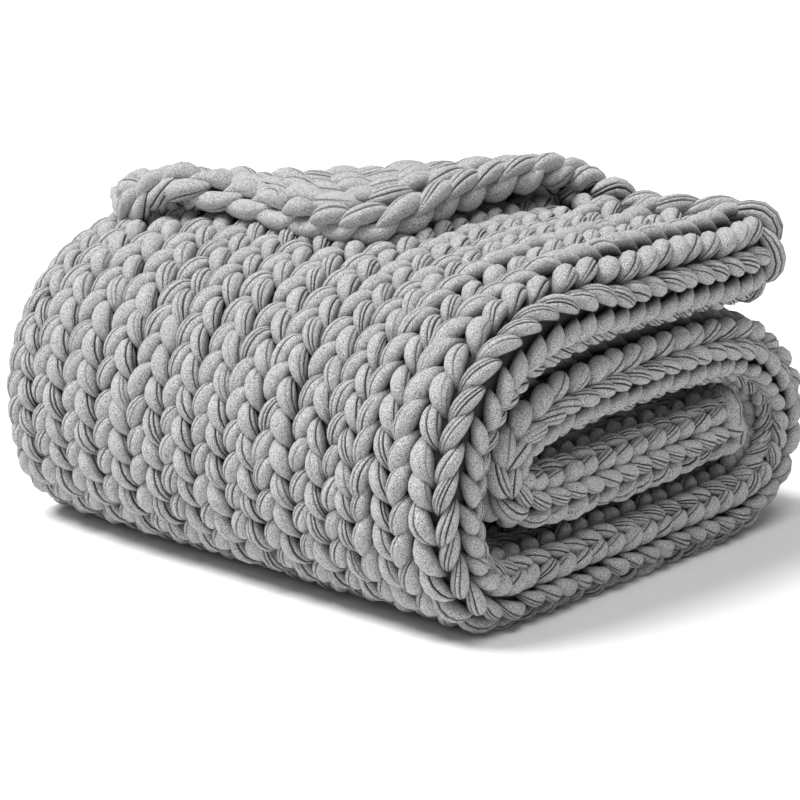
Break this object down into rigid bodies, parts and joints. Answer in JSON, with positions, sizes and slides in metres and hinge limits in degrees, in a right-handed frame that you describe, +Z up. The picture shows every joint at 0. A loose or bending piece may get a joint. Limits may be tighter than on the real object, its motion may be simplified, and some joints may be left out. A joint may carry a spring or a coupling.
{
  "type": "weighted blanket",
  "caption": "Chunky knit weighted blanket in plain grey, doubled lengthwise and rolled up flat, with one end of its upper ply turned back on top.",
  "frame": {"origin": "middle of the blanket's underside, on the surface it lies on", "axes": "+X along the roll towards the lengthwise fold, +Y towards the rolled back and the open end, +Z up"},
  "size_m": [0.4838, 0.4448, 0.29],
  "materials": {
    "knit": "matte jersey yarn"
  },
  "bodies": {
    "root": {"blanket": "knit"}
  },
  "joints": []
}
